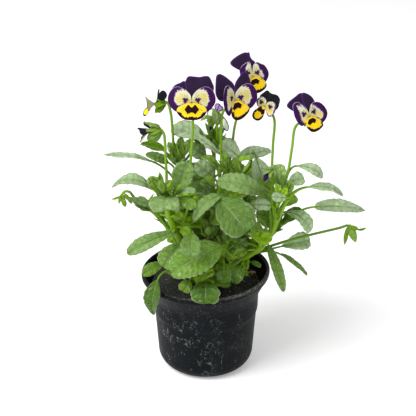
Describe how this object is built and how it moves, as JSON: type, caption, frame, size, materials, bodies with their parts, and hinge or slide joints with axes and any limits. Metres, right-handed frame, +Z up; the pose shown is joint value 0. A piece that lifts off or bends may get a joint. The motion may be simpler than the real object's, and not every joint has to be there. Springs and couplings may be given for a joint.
{
  "type": "potted viola",
  "caption": "Flowering viola with dark violet and yellow faces, scalloped leaves and thin stalks, growing in a round black plastic nursery pot filled with compost.",
  "frame": {"origin": "centre of the pot's underside, on the surface it stands on", "axes": "+Z up through the middle of the pot, -Y towards the viewer of the picture, +X to their right"},
  "size_m": [0.2398, 0.1594, 0.2967],
  "materials": {
    "pot_plastic": "near-black moulded plastic, dusty, with pale scuffs",
    "compost": "dark moist compost of shredded bark and peat, rough and crumbly",
    "leaf": "soft matt leaf, grey-green on top with paler veins, yellow-green stems",
    "petal_violet": "velvety dark violet petal",
    "petal_yellow": "velvety yellow petal with dark violet margin and whiskers",
    "withered": "dry straw-coloured bud"
  },
  "bodies": {
    "root": {"pot": "pot_plastic", "soil": "compost", "stem_left_front": "leaf", "stem_far_left": "leaf", "stem_back_left": "leaf", "stem_centre": "leaf", "stem_front": "leaf", "stem_right": "leaf", "stem_right_low": "leaf", "stem_rosette": "leaf", "stem_back_centre": "leaf", "stem_back_right": "leaf", "stem_far_back": "leaf", "bloom_front_left_upper": "petal_violet", "bloom_front_left_face": "petal_yellow", "bloom_front_right_upper": "petal_violet", "bloom_front_right_face": "petal_yellow", "bloom_top_upper": "petal_violet", "bloom_top_face": "petal_yellow", "bloom_small_upper": "petal_violet", "bloom_small_face": "petal_yellow", "bloom_right_upper": "petal_violet", "bloom_right_face": "petal_yellow", "bloom_side_upper": "petal_violet", "bloom_side_face": "petal_yellow", "bloom_nodding_upper": "petal_violet", "bloom_nodding_face": "petal_yellow", "bloom_away_upper": "petal_violet", "bloom_away_face": "petal_yellow", "bud_violet": "petal_violet", "bud_dark": "petal_violet", "bud_withered": "withered", "bud_capsule": "leaf"}
  },
  "joints": []
}
